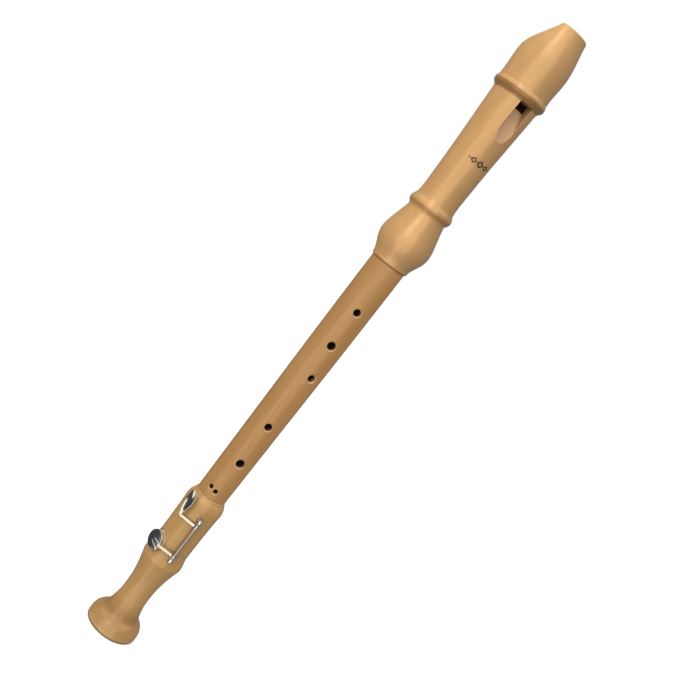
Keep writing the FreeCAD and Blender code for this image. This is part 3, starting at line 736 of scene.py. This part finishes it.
# ---------- stage ----------

def camera_turn():
    """The camera's own axes, rolled so that the standing instrument crosses the picture."""
    ahead = -direction(CAMERA_AZIMUTH)
    right = Vector((ahead.y, -ahead.x, 0))
    up = Vector((0, 0, 1))
    yaw = math.radians(CAMERA_YAW)
    tilt = math.radians(CAMERA_TILT)
    roll = math.radians(CAMERA_ROLL)
    level = ahead * math.cos(yaw) + right * math.sin(yaw)
    side = right * math.cos(yaw) - ahead * math.sin(yaw)
    look = level * math.cos(tilt) - up * math.sin(tilt)
    top = up * math.cos(tilt) + level * math.sin(tilt)
    picture_up = top * math.cos(roll) - side * math.sin(roll)
    picture_right = side * math.cos(roll) + top * math.sin(roll)
    return Matrix((picture_right, picture_up, -look)).transposed().to_4x4()


def make_camera():
    data = bpy.data.cameras.new("camera")
    data.sensor_width = SENSOR_WIDTH
    data.lens = CAMERA_LENS
    data.clip_start = 0.01
    camera = bpy.data.objects.new("camera", data)
    place = direction(CAMERA_AZIMUTH) * CAMERA_DISTANCE + Vector((0, 0, CAMERA_HEIGHT))
    camera.matrix_world = Matrix.Translation(place) @ camera_turn()
    bpy.context.scene.collection.objects.link(camera)
    bpy.context.scene.camera = camera


def make_key_light():
    """Large soft light from the upper left; the metal reflects the world instead of it."""
    data = bpy.data.lights.new("key_light", "AREA")
    data.shape = "RECTANGLE"
    data.size, data.size_y = LIGHT_SIZE
    data.energy = LIGHT_POWER
    data.color = (1.0, 0.985, 0.96)
    light = bpy.data.objects.new("key_light", data)
    rise = math.radians(LIGHT_ELEVATION)
    away = direction(LIGHT_AZIMUTH) * math.cos(rise) + Vector((0, 0, math.sin(rise)))
    light.location = Vector((0, 0, LIGHT_AIM)) + away * LIGHT_DISTANCE
    light.rotation_euler = (-away).to_track_quat("-Z", "Y").to_euler()
    light.visible_camera = False
    light.visible_glossy = False
    bpy.context.scene.collection.objects.link(light)


def ambient_light(graph, sky):
    """Soft light that is strongest from the upper left."""
    brightest = direction(-80) * 0.78 + Vector((0, 0, 0.62))
    strength = graph.ramp(graph.towards(sky, brightest), -0.9, 0.9, 0.22, 1.10)
    return graph.add("ShaderNodeBackground", {0: (0.97, 0.985, 1.0, 1.0), 1: strength}).outputs[0]


def reflected_room(graph, sky):
    """What shines in the metal and the polish.

    A bright window on both sides of the camera with a lamp in it, slate-grey dark to its left, a bright
    ceiling, and grey elsewhere.
    """
    height = graph.part(sky, 2)
    flat = graph.vector("NORMALIZE", graph.level(sky))
    dark_side = direction(-115) * 0.966 - Vector((0, 0, 0.259))
    slate = graph.ramp(graph.towards(sky, dark_side), 0.62, 0.84)
    ceiling = graph.ramp(height, 0.55, 0.75)
    ground = graph.ramp(height, -0.86, -0.74, 1.0, 0.0)
    window = graph.ramp(graph.towards(flat, direction(-15)), 0.79, 0.85)
    window = graph.product(window, graph.ramp(height, -0.80, -0.62))
    lamp = graph.ramp(graph.towards(flat, direction(-34)), 0.975, 0.995)
    lamp_rise = graph.largest(graph.ramp(height, 0.20, 0.55), graph.ramp(height, -0.42, -0.50, 0.0, 0.3))
    shine = graph.mix(slate, (0.26, 0.26, 0.25), (0.050, 0.057, 0.070))
    shine = graph.mix(ceiling, shine, (1.25, 1.22, 1.15))
    shine = graph.mix(ground, shine, (0.45, 0.44, 0.42))
    shine = graph.mix(window, shine, (1.25, 1.19, 1.04))
    shine = graph.mix(graph.product(lamp, lamp_rise), shine, (2.9, 2.75, 2.5))
    return graph.add("ShaderNodeBackground", {0: shine, 1: 1.0}).outputs[0]


def make_world():
    """White behind the instrument, with its own light and its own reflections."""
    world = bpy.data.worlds.new("studio")
    world.use_nodes = True
    graph = Graph(world.node_tree)
    sky = graph.add("ShaderNodeTexCoord").outputs["Generated"]
    ambient = ambient_light(graph, sky)
    around = reflected_room(graph, sky)
    white = graph.add("ShaderNodeBackground", {0: (1.0, 1.0, 1.0, 1.0), 1: 1.0}).outputs[0]
    path = graph.add("ShaderNodeLightPath").outputs
    lighting = graph.add("ShaderNodeMixShader", {0: path["Is Glossy Ray"], 1: ambient, 2: around}).outputs[0]
    shown = graph.add("ShaderNodeMixShader", {0: path["Is Camera Ray"], 1: lighting, 2: white}).outputs[0]
    output = graph.add("ShaderNodeOutputWorld")
    graph.links.new(shown, output.inputs[0])
    bpy.context.scene.world = world


def make_floor():
    """Pale paper that stays near white out to the horizon; it throws no light or reflection back."""
    graph = MaterialGraph("studio_floor")
    mottle = graph.noise(graph.stretched(0.35), detail=3.0)
    base = graph.mix(graph.ramp(mottle, 0.3, 0.7), (0.93, 0.93, 0.93), (0.90, 0.90, 0.91))
    material = graph.finish({"Base Color": base, "Roughness": 0.9, "Specular IOR Level": 0.1,
                             "Emission Color": (1, 1, 1, 1), "Emission Strength": 0.45})
    build = bmesh.new()
    bmesh.ops.create_circle(build, cap_ends=True, radius=9.0, segments=96)
    mesh = bpy.data.meshes.new("floor")
    build.to_mesh(mesh)
    build.free()
    mesh.materials.append(material)
    floor = bpy.data.objects.new("floor", mesh)
    floor.visible_diffuse = False
    floor.visible_glossy = False
    bpy.context.scene.collection.objects.link(floor)


finishes = finish_nodes()
touch_leaf(finishes["key_metal"])
key_pad(finishes["pad_leather"])
make_floor()
make_world()
make_key_light()
make_camera()
bpy.context.scene.view_settings.view_transform = "Standard"
